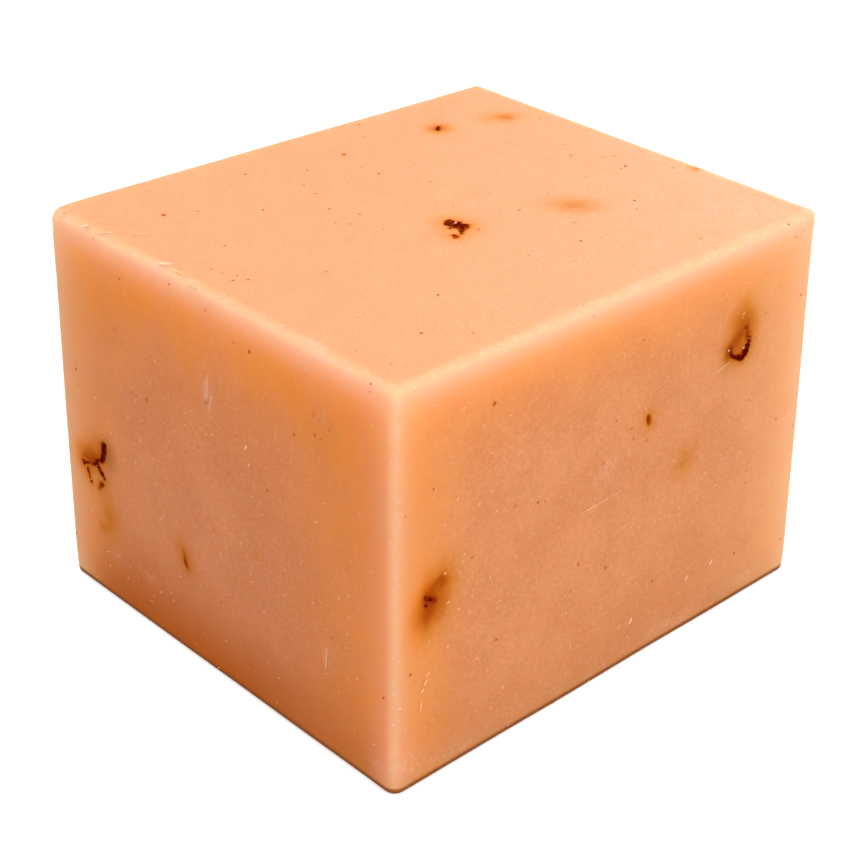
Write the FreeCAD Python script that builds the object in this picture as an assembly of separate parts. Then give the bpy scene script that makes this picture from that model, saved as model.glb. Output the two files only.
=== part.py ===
import FreeCAD, Part
import math
import os

# A hand-cut bar of cold-process soap with dried petals cast into it.
#
# The loaf was cut by hand, so no wall is quite square to the next one. Each wall is a plane that
# leans or skews by about a degree, and the block is what the six planes enclose. The edges were
# rounded by handling, and one top corner is worn down.
#
# The petals were stirred into the wet soap and cut through with it. Each one that reaches a wall
# shows its cut edge there, flush with the wall, and runs on inwards as a thin curled strip. The
# soap has a pocket of exactly that shape round each petal.
#
# Frame: origin in the middle of the base, +X along the longest side, +Z up, millimetres.
# Wall names: front faces -Y, back +Y, side -X, far +X.

# Driving dimensions of the block.
bar_length = 62.5
bar_width = 55.0
bar_height = 45.5

# How far each wall is out of square, in degrees. A lean tips a wall inwards towards its top,
# a skew turns it about the upright, and a fall lowers the top away from its highest corner.
front_lean = 1.1
side_lean = 0.7
far_lean = 1.2
far_skew = 0.5
back_skew = 1.9
top_fall_lengthwise = 0.5
top_fall_crosswise = 0.4

# The radius that handling has given every edge.
edge_round = 1.1

# How much of the worn corner's tip is gone.
worn_tip = 1.5

# A petal's solid starts this far outside its wall, and is then trimmed flush.
trim_allowance = 0.5

# A strip of petal narrows towards its inner end, to this share of the width that it was cut at.
inner_end_share = 0.4

# A dried strip bends in this many flat creases from tip to tip.
strip_creases = 4

# A buried petal is widest halfway down, and this share of that width at its two ends.
buried_end_share = 0.45

# The petals whose cut edge is a curled strip. place is the middle of the cut on its wall, as a
# share of the wall: across from -1 to 1, and up from 0 to 1 on the walls or -1 to 1 on the top
# and base. A strip is (one tip, middle of its bow, other tip, thickness) about that place. The
# petal slides by slide while it goes depth into the soap, turning by twist degrees.
curled_petals = {
    "petal_front_curl": {
        "wall": "front",
        "place": (0.586, 0.705),
        "strips": [
            ((1.2, 1.0), (1.05, -0.2), (-0.3, -0.9), 0.7),
            ((0.95, -0.6), (-0.4, -0.65), (-1.75, 0.35), 0.45),
            ((1.0, 0.3), (1.35, 1.3), (0.7, 2.6), 0.35),
        ],
        "slide": (-0.5, 1.8),
        "depth": 3.2,
        "twist": 12.0,
    },
    "petal_front_low": {
        "wall": "front",
        "place": (-0.829, 0.459),
        "strips": [
            ((0.7, 2.1), (-0.9, 0.4), (-1.25, -2.1), 0.8),
            ((-1.1, 0.9), (-0.35, 0.15), (0.3, -0.1), 0.45),
        ],
        "slide": (2.0, 0.3),
        "depth": 2.6,
        "twist": -10.0,
    },
    "petal_side_curl": {
        "wall": "side",
        "place": (-0.76, 0.374),
        "strips": [
            ((0.85, 3.1), (1.25, 1.7), (0.6, 0.1), 0.7),
            ((-3.1, -1.3), (-1.4, -0.5), (1.0, 0.8), 0.45),
            ((-0.5, 0.2), (0.15, -1.0), (1.1, -1.9), 0.4),
            ((-2.3, -0.7), (-2.15, -1.9), (-1.75, -3.0), 0.3),
        ],
        "slide": (-1.0, 0.5),
        "depth": 2.4,
        "twist": 8.0,
    },
    "petal_top_back": {
        "wall": "top",
        "place": (0.509, 0.625),
        "strips": [((-0.6, -0.7), (-0.05, 0.1), (0.7, 0.6), 0.6)],
        "slide": (0.3, 0.5),
        "depth": 1.4,
        "twist": 15.0,
    },
    "petal_back_curl": {
        "wall": "back",
        "place": (0.38, 0.66),
        "strips": [
            ((-1.6, 1.0), (0.3, -0.6), (1.9, 0.9), 0.55),
            ((0.4, -1.1), (0.8, 0.2), (0.3, 1.5), 0.35),
        ],
        "slide": (0.8, -1.2),
        "depth": 3.0,
        "twist": -12.0,
    },
    "petal_back_low": {
        "wall": "back",
        "place": (-0.57, 0.27),
        "strips": [((-1.2, -0.9), (0.2, 0.3), (1.5, 0.5), 0.7)],
        "slide": (0.4, 1.3),
        "depth": 2.2,
        "twist": 10.0,
    },
    "petal_far_curl": {
        "wall": "far",
        "place": (0.42, 0.36),
        "strips": [
            ((-0.9, 1.7), (0.5, 0.2), (-0.3, -1.8), 0.5),
            ((0.9, 0.9), (0.1, 0.5), (-1.0, -0.4), 0.4),
        ],
        "slide": (1.1, 0.6),
        "depth": 2.8,
        "twist": 10.0,
    },
    "petal_base_curl": {
        "wall": "base",
        "place": (0.25, -0.3),
        "strips": [((-1.5, -0.4), (0.1, 0.5), (1.6, -0.2), 0.6)],
        "slide": (0.5, 0.9),
        "depth": 2.4,
        "twist": -8.0,
    },
}

# The petals that lie wholly inside the soap and only show as a stain. cover is the soap over
# each one, and depth is how far down it ends.
buried_petals = {
    "petal_top_buried": {
        "wall": "top",
        "place": (0.365, -0.32),
        "strips": [((-1.4, 0.9), (0.2, 0.5), (1.4, -0.9), 0.7)],
        "slide": (0.3, 0.3),
        "cover": 0.7,
        "depth": 2.2,
        "twist": 10.0,
    },
    "petal_top_buried_back": {
        "wall": "top",
        "place": (0.79, 0.527),
        "strips": [((-0.9, 0.6), (0.1, 0.2), (0.9, -0.6), 0.5)],
        "slide": (0.2, 0.2),
        "cover": 0.5,
        "depth": 1.7,
        "twist": 8.0,
    },
    "petal_front_buried": {
        "wall": "front",
        "place": (0.33, 0.49),
        "strips": [((-0.7, -0.7), (0.1, -0.1), (0.7, 0.7), 0.5)],
        "slide": (0.2, -0.3),
        "cover": 0.5,
        "depth": 1.7,
        "twist": 8.0,
    },
    "petal_side_low": {
        "wall": "side",
        "place": (-0.196, 0.262),
        "strips": [((-0.7, 1.4), (-0.1, 0.1), (0.6, -1.0), 0.5)],
        "slide": (0.2, -0.2),
        "cover": 0.25,
        "depth": 1.6,
        "twist": 8.0,
    },
    "petal_side_buried": {
        "wall": "side",
        "place": (-0.709, 0.235),
        "strips": [((0.1, 1.7), (0.5, 0.0), (-0.2, -1.7), 0.7)],
        "slide": (0.3, -0.3),
        "cover": 0.6,
        "depth": 2.2,
        "twist": 6.0,
    },
}

# The torn bits that lie flat in a wall, each with its jagged outline about its place and how far
# down it goes.
flakes = {
    "petal_top_flake": {
        "wall": "top",
        "place": (-0.064, -0.164),
        "outline": [
            (-0.5, 1.7),
            (0.0, 2.05),
            (0.5, 1.9),
            (0.8, 1.55),
            (0.6, 1.05),
            (0.9, 0.85),
            (1.1, 0.55),
            (0.9, 0.2),
            (1.1, -0.15),
            (1.1, -0.55),
            (0.9, -1.2),
            (0.0, -1.3),
            (-1.05, -1.8),
            (-0.5, -0.85),
            (-0.4, -0.45),
            (-0.65, 0.3),
        ],
        "depth": 0.8,
    },
    "petal_top_crumb": {
        "wall": "top",
        "place": (-0.125, -0.225),
        "outline": [(-0.1, 0.55), (0.3, 0.3), (0.4, -0.3), (-0.4, -0.45), (-0.2, 0.15)],
        "depth": 0.5,
    },
    "petal_side_crumb": {
        "wall": "side",
        "place": (-0.751, 0.314),
        "outline": [(0.0, 0.45), (0.5, 0.4), (0.3, -0.15), (-0.05, -0.45), (-0.5, -0.35), (-0.35, 0.1)],
        "depth": 0.6,
    },
}

# A flake draws in to this share of its outline at its underside.
flake_underside_share = 0.7

# The seeds: half of each one's width and length on its wall, how far down it goes, and its turn.
seeds = {
    "petal_front_seed": {
        "wall": "front",
        "place": (0.125, 0.644),
        "half": (0.28, 0.7),
        "depth": 0.5,
        "turn": 5.0,
    },
    "petal_far_seed": {
        "wall": "far",
        "place": (-0.34, 0.72),
        "half": (0.3, 0.65),
        "depth": 0.5,
        "turn": -30.0,
    },
}

# A seed's outline has this many sides.
seed_sides = 10

OUTPUT = "parts"


class Wall:
    """One flat wall: a point on it, its outward normal, and its own across and up axes."""

    def __init__(self, point, outward, up_hint, half_across, up_size):
        self.point = point
        self.outward = FreeCAD.Vector(outward).normalize()
        self.across = up_hint.cross(self.outward).normalize()
        self.up = self.outward.cross(self.across)
        self.half_across = half_across
        self.up_size = up_size

    def spot(self, share):
        """The point on the wall at a share of its size."""
        return self.point + self.across * (share[0] * self.half_across) + self.up * (share[1] * self.up_size)

    def offset(self, spot, right, up, depth):
        """A point given from a spot on the wall, depth below the surface."""
        return spot + self.across * right + self.up * up - self.outward * depth


def slope(degrees):
    return math.tan(math.radians(degrees))


def make_walls():
    """The six planes of the block, from its sizes and how far it is out of square."""
    half_length = bar_length / 2
    half_width = bar_width / 2
    upright = FreeCAD.Vector(0, 0, 1)
    backwards = FreeCAD.Vector(0, 1, 0)
    point = FreeCAD.Vector
    top_outward = point(-slope(top_fall_lengthwise), -slope(top_fall_crosswise), 1)
    top_middle = bar_height + top_outward.x * half_length + top_outward.y * half_width
    back_middle = half_width - slope(back_skew) * half_length
    far_middle = half_length - slope(far_skew) * half_width
    return {
        "front": Wall(
            point(0, -half_width, 0),
            point(0, -1, slope(front_lean)),
            upright,
            half_length,
            bar_height,
        ),
        "side": Wall(
            point(-half_length, 0, 0),
            point(-1, 0, slope(side_lean)),
            upright,
            half_width,
            bar_height,
        ),
        "far": Wall(
            point(far_middle, 0, 0),
            point(1, -slope(far_skew), slope(far_lean)),
            upright,
            half_width,
            bar_height,
        ),
        "back": Wall(
            point(0, back_middle, 0),
            point(slope(back_skew), 1, 0),
            upright,
            half_length,
            bar_height,
        ),
        "top": Wall(point(0, 0, top_middle), top_outward, backwards, half_length, half_width),
        "base": Wall(point(0, 0, 0), point(0, 0, -1), backwards, half_length, half_width),
    }


def meeting_point(first, second, third):
    """Where three walls meet."""
    a, b, c = first.outward, second.outward, third.outward
    along = b.cross(c) * a.dot(first.point)
    along += c.cross(a) * b.dot(second.point)
    along += a.cross(b) * c.dot(third.point)
    return along / a.dot(b.cross(c))


def wall_face(walls, name, neighbours):
    """The flat face of one wall, from its four corners in turn."""
    corners = []
    for index, neighbour in enumerate(neighbours):
        following = neighbours[(index + 1) % len(neighbours)]
        corners.append(meeting_point(walls[name], walls[neighbour], walls[following]))
    return Part.Face(Part.makePolygon(corners + corners[:1]))


def sharp_block(walls):
    """The block as it was cut, with sharp edges."""
    round_the_block = ["front", "far", "back", "side"]
    faces = [wall_face(walls, name, round_the_block) for name in ("top", "base")]
    faces += [wall_face(walls, name, ["base", "far", "top", "side"]) for name in ("front", "back")]
    faces += [wall_face(walls, name, ["base", "front", "top", "back"]) for name in ("side", "far")]
    return Part.Solid(Part.Shell(faces))


def wear_corner(block, walls):
    """Take the tip off the top corner between the side and the back."""
    meeting = [walls["side"], walls["back"], walls["top"]]
    tip = meeting_point(*meeting)
    outwards = (meeting[0].outward + meeting[1].outward + meeting[2].outward).normalize()
    reach = 8 * worn_tip
    waste = Part.makeBox(2 * reach, 2 * reach, reach, FreeCAD.Vector(-reach, -reach, 0))
    turn = FreeCAD.Rotation(FreeCAD.Vector(0, 0, 1), outwards)
    waste.Placement = FreeCAD.Placement(tip - outwards * worn_tip, turn)
    return block.cut(waste)


def rounded_block(walls):
    """The whole block with its rounded edges, before any petal is let into it."""
    block = wear_corner(sharp_block(walls), walls)
    return block.makeFillet(edge_round, block.Edges)


def turned(point, degrees, share):
    """A point of a strip after it is scaled and turned about the petal's middle."""
    angle = math.radians(degrees)
    right = share * (point[0] * math.cos(angle) - point[1] * math.sin(angle))
    up = share * (point[0] * math.sin(angle) + point[1] * math.cos(angle))
    return right, up


def strip_section(wall, spot, strip, slide, depth, degrees, share):
    """The creased crescent of one strip at one depth: two arcs that share its two tips."""
    first, middle, last, thickness = strip
    chord = (last[0] - first[0], last[1] - first[1])
    length = math.hypot(*chord)
    half = thickness / 2
    normal = (-chord[1] / length * half, chord[0] / length * half)
    flat = {
        "first": first,
        "outer": (middle[0] + normal[0], middle[1] + normal[1]),
        "last": last,
        "inner": (middle[0] - normal[0], middle[1] - normal[1]),
    }
    seat = {}
    for name, point in flat.items():
        right, up = turned(point, degrees, share)
        seat[name] = wall.offset(spot, right + slide[0], up + slide[1], depth)
    outer = Part.Arc(seat["first"], seat["outer"], seat["last"]).toShape()
    inner = Part.Arc(seat["last"], seat["inner"], seat["first"]).toShape()
    creases = outer.discretize(Number=strip_creases + 1)[:-1]
    creases += inner.discretize(Number=strip_creases + 1)
    return Part.makePolygon(creases)


def petal_solid(walls, petal, stations):
    """A petal as the union of its strips, each lofted through its stations into the soap.

    A station is (depth, share of the whole width), from the outermost to the innermost."""
    wall = walls[petal["wall"]]
    spot = wall.spot(petal["place"])
    blades = []
    for strip in petal["strips"]:
        sections = []
        for depth, share in stations:
            way = depth / petal["depth"]
            slide = (petal["slide"][0] * way, petal["slide"][1] * way)
            degrees = petal["twist"] * way
            sections.append(strip_section(wall, spot, strip, slide, depth, degrees, share))
        blades.append(Part.makeLoft(sections, True, True))
    if len(blades) == 1:
        return blades[0]
    return blades[0].fuse(blades[1:])


def curled_petal(walls, petal):
    """A petal that was cut through at its wall, and narrows as it runs inwards."""
    depth = petal["depth"]
    middle_share = (1 + inner_end_share) / 2
    stations = [(-trim_allowance, 1.0), (depth / 2, middle_share), (depth, inner_end_share)]
    return petal_solid(walls, petal, stations)


def buried_petal(walls, petal):
    """A petal with soap all round it."""
    cover = petal["cover"]
    depth = petal["depth"]
    stations = [(cover, buried_end_share), ((cover + depth) / 2, 1.0), (depth, buried_end_share)]
    return petal_solid(walls, petal, stations)


def flake_solid(walls, flake, outline):
    """A flat bit of petal: its outline, drawn in towards its underside."""
    wall = walls[flake["wall"]]
    spot = wall.spot(flake["place"])
    sections = []
    for depth, share in [(-trim_allowance, 1.0), (flake["depth"], flake_underside_share)]:
        corners = [wall.offset(spot, share * x, share * y, depth) for x, y in outline]
        sections.append(Part.makePolygon(corners + corners[:1]))
    return Part.makeLoft(sections, True, True)


def seed_outline(seed):
    """The oval of a seed on its wall, in straight sides."""
    wide, long = seed["half"]
    outline = []
    for side in range(seed_sides):
        angle = 2 * math.pi * side / seed_sides
        outline.append(turned((wide * math.cos(angle), long * math.sin(angle)), seed["turn"], 1.0))
    return outline


def make_petals(walls):
    """Every petal, flake and seed, still standing proud of the walls that they were cut at."""
    petals = {name: curled_petal(walls, petal) for name, petal in curled_petals.items()}
    petals.update({name: buried_petal(walls, petal) for name, petal in buried_petals.items()})
    petals.update({name: flake_solid(walls, flake, flake["outline"]) for name, flake in flakes.items()})
    petals.update({name: flake_solid(walls, seed, seed_outline(seed)) for name, seed in seeds.items()})
    return petals


def one_solid(name, shape):
    """The shape as a single closed solid, or a plain message."""
    if not shape.isValid() or len(shape.Solids) != 1:
        raise RuntimeError(f"{name} is not one valid solid")
    return shape.Solids[0]


def main():
    walls = make_walls()
    block = one_solid("block", rounded_block(walls))
    petals = make_petals(walls)
    nodes = {}
    soap = block
    for name, petal in petals.items():
        nodes[name] = one_solid(name, petal.common(block))
        soap = soap.cut(nodes[name])
    nodes["soap_bar"] = one_solid("soap_bar", soap)
    os.makedirs(OUTPUT, exist_ok=True)
    for name, shape in nodes.items():
        shape.exportStep(f"{OUTPUT}/{name}.step")
        print(f"{name}: {shape.Volume:.2f} mm3")
    left_over = block.Volume - sum(shape.Volume for shape in nodes.values())
    box = block.BoundBox
    print(f"block {box.XLength:.2f} x {box.YLength:.2f} x {box.ZLength:.2f} mm")
    print(f"volume in no node or in two: {left_over:.4f} mm3")


main()
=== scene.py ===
# %% [markdown]
# # A hand-cut bar of soap with dried petals in it
#
# The real thing is one block of cold-process soap, cut from a loaf by hand, with a few bits of
# dried petal that were stirred into it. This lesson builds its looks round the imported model: the
# petals, the block's skin with its pits and stains, the crumbs and pale flecks, and the light.
#
# Everything is in metres, with the origin in the middle of the base. The front wall faces -Y,
# the back +Y, the side -X and the far wall +X.

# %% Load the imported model
import math
import random

import bmesh
import bpy
import numpy as np
from mathutils import Matrix, Vector, bvhtree, kdtree, noise


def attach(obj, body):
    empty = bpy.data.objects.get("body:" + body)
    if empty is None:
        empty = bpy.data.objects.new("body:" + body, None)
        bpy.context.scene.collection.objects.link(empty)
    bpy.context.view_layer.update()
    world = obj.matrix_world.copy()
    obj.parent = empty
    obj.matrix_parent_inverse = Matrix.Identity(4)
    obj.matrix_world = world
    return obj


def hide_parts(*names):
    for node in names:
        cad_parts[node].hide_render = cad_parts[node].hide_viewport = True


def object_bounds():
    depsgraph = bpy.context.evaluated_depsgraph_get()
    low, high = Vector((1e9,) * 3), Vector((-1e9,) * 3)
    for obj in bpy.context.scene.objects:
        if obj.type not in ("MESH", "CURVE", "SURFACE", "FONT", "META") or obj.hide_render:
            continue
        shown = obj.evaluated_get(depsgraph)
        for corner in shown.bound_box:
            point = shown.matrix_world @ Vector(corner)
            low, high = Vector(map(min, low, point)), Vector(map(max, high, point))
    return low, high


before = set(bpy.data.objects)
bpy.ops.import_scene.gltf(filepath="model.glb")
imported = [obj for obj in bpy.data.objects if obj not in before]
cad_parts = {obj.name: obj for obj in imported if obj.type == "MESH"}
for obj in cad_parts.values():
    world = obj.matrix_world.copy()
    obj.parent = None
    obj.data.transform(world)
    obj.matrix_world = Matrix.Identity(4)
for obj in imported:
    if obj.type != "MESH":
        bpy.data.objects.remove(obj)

cad_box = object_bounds()
MM = 0.001

# Without a seed of its own the noise takes one from the clock, and each run differs.
NOISE_SEED = 7
noise.seed_set(NOISE_SEED)
print("packed nodes:", len(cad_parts))

# %% [markdown]
# ## The block's six walls
#
# A hand-cut bar isn't square: each wall leans, skews or falls by about a degree. The skin made
# here and everything set into it need the same walls, so the walls come first, as small frames
# with a point, an outward direction, and their own across and up.

# %% Sizes of the block
BAR_LENGTH = 62.5 * MM
BAR_WIDTH = 55.0 * MM
BAR_HEIGHT = 45.5 * MM
FRONT_LEAN, SIDE_LEAN, FAR_LEAN = (math.tan(math.radians(d)) for d in (1.1, 0.7, 1.2))
FAR_SKEW, BACK_SKEW = (math.tan(math.radians(d)) for d in (0.5, 1.9))
TOP_FALL_X, TOP_FALL_Y = (math.tan(math.radians(d)) for d in (0.5, 0.4))
HALF_L, HALF_W = BAR_LENGTH / 2, BAR_WIDTH / 2
TOP_MIDDLE = BAR_HEIGHT - TOP_FALL_X * HALF_L - TOP_FALL_Y * HALF_W
print("bar in mm:", [round(v / MM, 1) for v in (BAR_LENGTH, BAR_WIDTH, BAR_HEIGHT)])


# %% The walls as frames
class Wall:
    """A flat wall with its own across and up directions."""

    def __init__(self, point, outward, up_hint):
        self.point = Vector(point)
        self.outward = Vector(outward).normalized()
        self.across = Vector(up_hint).cross(self.outward).normalized()
        self.up = self.outward.cross(self.across)

    def at(self, across, up, depth=0.0):
        """The point at so many millimetres across, up and into the wall."""
        return self.point + (self.across * across + self.up * up - self.outward * depth) * MM

    def seat(self, across, up, depth=0.0, turn=0.0):
        """A matrix that sets a shape on the wall, turned in its plane by so many radians."""
        axes = Matrix((self.across, self.up, self.outward)).transposed().to_4x4()
        return Matrix.Translation(self.at(across, up, depth)) @ axes @ Matrix.Rotation(turn, 4, "Z")

    def split(self, points):
        """Millimetres across, up and out of the wall, for a table of points."""
        offset = (points - np.array(self.point)) / MM
        return [offset @ np.array(axis) for axis in (self.across, self.up, self.outward)]


Z_UP, Y_UP = (0, 0, 1), (0, 1, 0)
WALLS = {
    "front": Wall((0, -HALF_W, 0), (0, -1, FRONT_LEAN), Z_UP),
    "side": Wall((-HALF_L, 0, 0), (-1, 0, SIDE_LEAN), Z_UP),
    "far": Wall((HALF_L - FAR_SKEW * HALF_W, 0, 0), (1, -FAR_SKEW, FAR_LEAN), Z_UP),
    "back": Wall((0, HALF_W - BACK_SKEW * HALF_L, 0), (BACK_SKEW, 1, 0), Z_UP),
    "top": Wall((0, 0, TOP_MIDDLE), (-TOP_FALL_X, -TOP_FALL_Y, 1), Y_UP),
    "base": Wall((0, 0, 0), (0, 0, -1), Y_UP),
}
UPRIGHTS = ("front", "side", "far", "back")
print("walls:", ", ".join(WALLS))

# %% [markdown]
# ## The camera
#
# The camera stands where the photograph was taken from, found from the directions of the bar's
# nine visible edges: a long lens, looking down by about 29 degrees on the corner between the
# front and the side. It has no depth of field and no shift.

# %% Camera
CAMERA_AZIMUTH, CAMERA_ELEVATION, CAMERA_ROLL = (math.radians(d) for d in (-43.531, 28.9, 0.971))
CAMERA_PLACE = Vector((-127.76, -132.62, 120.61)) * MM
CAMERA_LENS = 79.82


def aim_matrix(azimuth, elevation, roll, place):
    """A camera's matrix from its azimuth, elevation and roll."""
    back = Vector((
        math.sin(azimuth) * math.cos(elevation),
        -math.cos(azimuth) * math.cos(elevation),
        math.sin(elevation),
    ))
    level_right = Vector((math.cos(azimuth), math.sin(azimuth), 0))
    level_up = back.cross(level_right)
    right = level_right * math.cos(roll) + level_up * math.sin(roll)
    up = level_up * math.cos(roll) - level_right * math.sin(roll)
    turn = Matrix((right, up, back)).transposed().to_4x4()
    return Matrix.Translation(place) @ turn


camera_data = bpy.data.cameras.new("camera")
camera_data.lens = CAMERA_LENS
camera_data.clip_start = 0.01
camera = bpy.data.objects.new("camera", camera_data)
camera.matrix_world = aim_matrix(CAMERA_AZIMUTH, CAMERA_ELEVATION, CAMERA_ROLL, CAMERA_PLACE)
bpy.context.scene.collection.objects.link(camera)
bpy.context.scene.camera = camera
print("camera at", [round(v, 4) for v in camera.location])

# %% [markdown]
# ## Help for node trees
#
# Every finish below is a node tree in Object coordinates, and the scattering of dust is a node
# tree too. A small function adds a node and feeds its inputs. A class on top of it keeps the
# materials short: it offers the few steps used again and again, such as noise of a given size
# in millimetres.


# %% Small helpers for node trees
def feed(tree, node, feeds):
    """Set a node's inputs to plain values, or link them to other nodes' sockets."""
    for name, value in feeds.items():
        if isinstance(value, bpy.types.NodeSocket):
            tree.links.new(value, node.inputs[name])
        else:
            node.inputs[name].default_value = value


def add_node(tree, kind, feeds=None, **settings):
    """Add a node with its settings and inputs, and give its outputs."""
    node = tree.nodes.new(kind)
    for name, value in settings.items():
        setattr(node, name, value)
    feed(tree, node, feeds or {})
    return node.outputs


class Nodes:
    """A material's node tree with short calls to add nodes to it."""

    def __init__(self, name):
        self.material = bpy.data.materials.new(name)
        self.material.use_nodes = True
        self.tree = self.material.node_tree
        self.tree.nodes.clear()
        self.shader = self.tree.nodes.new("ShaderNodeBsdfPrincipled")
        self.add("ShaderNodeOutputMaterial", {"Surface": self.shader.outputs[0]})
        self.place = self.scaled(self.add("ShaderNodeTexCoord")["Object"], (1 / MM,) * 3)

    def add(self, kind, feeds=None, **settings):
        return add_node(self.tree, kind, feeds, **settings)

    def shade(self, **feeds):
        """Feed the shader, with _ for a space in an input's name, and give the material."""
        feed(self.tree, self.shader, {name.replace("_", " "): value for name, value in feeds.items()})
        return self.material

    def scaled(self, vector, scale, turn=(0, 0, 0)):
        return self.add("ShaderNodeMapping", {"Vector": vector, "Rotation": turn, "Scale": scale})["Vector"]

    def stretched(self, way, factor):
        """The place in millimetres, drawn out along a direction."""
        turn = Vector(way).to_track_quat("Z", "Y").to_euler()
        feeds = {"Vector": self.place, "Rotation": turn, "Scale": (1, 1, factor)}
        return self.add("ShaderNodeMapping", feeds, vector_type="TEXTURE")["Vector"]

    def noise(self, size_mm, detail=2.0, roughness=0.5, place=None):
        feeds = {"Vector": place or self.place, "Scale": 1 / size_mm}
        return self.add("ShaderNodeTexNoise", {**feeds, "Detail": detail, "Roughness": roughness})["Fac"]

    def attribute(self, name):
        return self.add("ShaderNodeAttribute", attribute_name=name)["Fac"]

    def times(self, first, second):
        return self.add("ShaderNodeMath", {0: first, 1: second}, operation="MULTIPLY")[0]

    def ramp(self, value, low, high, out_low=0.0, out_high=1.0):
        feeds = {"Value": value, "From Min": low, "From Max": high, "To Min": out_low, "To Max": out_high}
        return self.add("ShaderNodeMapRange", feeds, interpolation_type="SMOOTHSTEP")["Result"]

    def mix(self, share, first, second, blend="MIX"):
        feeds = {0: share, 6: first, 7: second}
        return self.add("ShaderNodeMix", feeds, data_type="RGBA", blend_type=blend)[2]

    def bump(self, height, distance_mm, normal=None):
        feeds = {"Distance": distance_mm * MM, "Strength": 1.0, "Height": height}
        if normal:
            feeds["Normal"] = normal
        return self.add("ShaderNodeBump", feeds)["Normal"]


def rgb(red, green, blue):
    """A colour given as it looks on a screen, from 0 to 255."""
    shares = [v / 255 for v in (red, green, blue)]
    return (*[v / 12.92 if v < 0.04045 else ((v + 0.055) / 1.055) ** 2.4 for v in shares], 1.0)


# %% [markdown]
# ## Petal finishes
#
# A dried petal soaked in lye goes a maroon that is nearly black, with a rust-red rim where it is
# thin. The rim is painted from an attribute of the mesh, so it follows the torn outline, and
# noise breaks up the rest. The flake on the top is smeared with soap. Soaked petals hardly
# shine, so they have no gloss.


# %% Petal materials
SMEAR = rgb(206, 134, 96)


def make_petal(name, dark, light, rim, smear=0.0):
    nodes = Nodes(name)
    fibre = nodes.noise(0.22, 4.0, 0.7)
    colour = nodes.mix(nodes.ramp(fibre, 0.44, 0.66), dark, light)
    rust = nodes.times(nodes.attribute("rim"), nodes.ramp(nodes.noise(0.5, 3.0, 0.6), 0.45, 0.65, 0.1, 0.9))
    colour = nodes.mix(rust, colour, rim)
    if smear:
        streak = nodes.noise(0.25, 3.0, 0.6, nodes.scaled(nodes.place, (1.0, 0.25, 1.0), (0, 0, 0.9)))
        colour = nodes.mix(nodes.ramp(streak, 0.58, 0.68, 0.0, smear), colour, SMEAR)
    creases = nodes.bump(fibre, 0.02)
    return nodes.shade(Base_Color=colour, Roughness=0.55, Specular_IOR_Level=0.0, Normal=creases)


petal_dark = make_petal("petal_dark", rgb(64, 2, 0), rgb(110, 12, 0), rgb(218, 80, 0))
petal_flake = make_petal("petal_flake", rgb(64, 3, 0), rgb(124, 24, 0), rgb(216, 88, 0), 0.35)
petal_rust = make_petal("petal_rust", rgb(120, 26, 0), rgb(176, 60, 0), rgb(222, 108, 6))
seed_brown = make_petal("seed_brown", rgb(150, 40, 0), rgb(196, 80, 4), rgb(230, 116, 16))
print("petal materials:", petal_dark.name, petal_flake.name, petal_rust.name, seed_brown.name)

# %% [markdown]
# ## The petals
#
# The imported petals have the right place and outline, but flat creases. Each one that reaches a
# wall is remade finer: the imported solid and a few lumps, where the real petal is folded and
# thick, are melted together by a voxel remesh, and noise then tears and wrinkles the edge.
# What the soap covers is pushed under the wall, and what is thin is painted rust-red all over.
# They cast no shadow: a flush petal has none to show, and its shadow would only stop the light
# that soaks into the soap under it, which leaves a grey ring.

# %% Lumps, as millimetres across and up the wall, and radius
LUMPS = {
    "petal_front_curl": ("front", [
        (16.6, 33.0, 0.1), (16.6, 32.65, 0.14), (16.75, 32.3, 0.24), (17.1, 31.95, 0.22),
        (17.6, 31.8, 0.24), (18.1, 31.6, 0.38), (18.6, 31.5, 0.55), (19.05, 31.9, 0.6),
        (19.4, 32.5, 0.42), (19.65, 33.0, 0.2),
        (19.7, 33.45, 0.12), (19.35, 33.6, 0.13), (19.5, 34.0, 0.10), (18.85, 34.8, 0.1),
    ]),
    "petal_front_low": ("front", [
        (-27.0, 21.65, 0.13), (-26.7, 21.35, 0.16), (-26.4, 21.15, 0.15), (-26.05, 20.95, 0.17),
        (-25.75, 20.8, 0.12), (-26.95, 20.7, 0.14),
    ]),
    "petal_side_curl": ("side", [
        (-19.65, 19.6, 0.44), (-19.65, 19.15, 0.46), (-19.8, 18.65, 0.3), (-19.95, 18.2, 0.4),
        (-20.15, 17.7, 0.38), (-20.45, 17.35, 0.22), (-21.2, 16.55, 0.34), (-20.75, 16.3, 0.2),
        (-24.0, 15.95, 0.18), (-23.6, 15.95, 0.15), (-23.2, 16.05, 0.14), (-22.8, 16.15, 0.14),
        (-22.4, 16.25, 0.15), (-22.0, 16.4, 0.17), (-21.6, 16.5, 0.2),
        (-20.3, 15.8, 0.22), (-20.0, 15.35, 0.16), (-23.55, 15.9, 0.2), (-23.85, 15.65, 0.16),
        (-23.15, 15.3, 0.15), (-23.05, 15.0, 0.16), (-22.95, 14.7, 0.16), (-22.85, 14.4, 0.13),
        (-22.6, 13.9, 0.15),
    ]),
    "petal_side_crumb": ("side", [(-20.45, 14.4, 0.3), (-20.75, 14.1, 0.22), (-21.1, 13.7, 0.1)]),
    "petal_top_flake": ("top", [
        (-2.4, -3.3, 0.3), (-1.6, -3.0, 0.3), (-1.15, -4.0, 0.24), (-1.1, -5.0, 0.3),
        (-2.9, -4.4, 0.14), (-2.6, -5.9, 0.16), (-3.0, -6.15, 0.12),
    ]),
}

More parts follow.
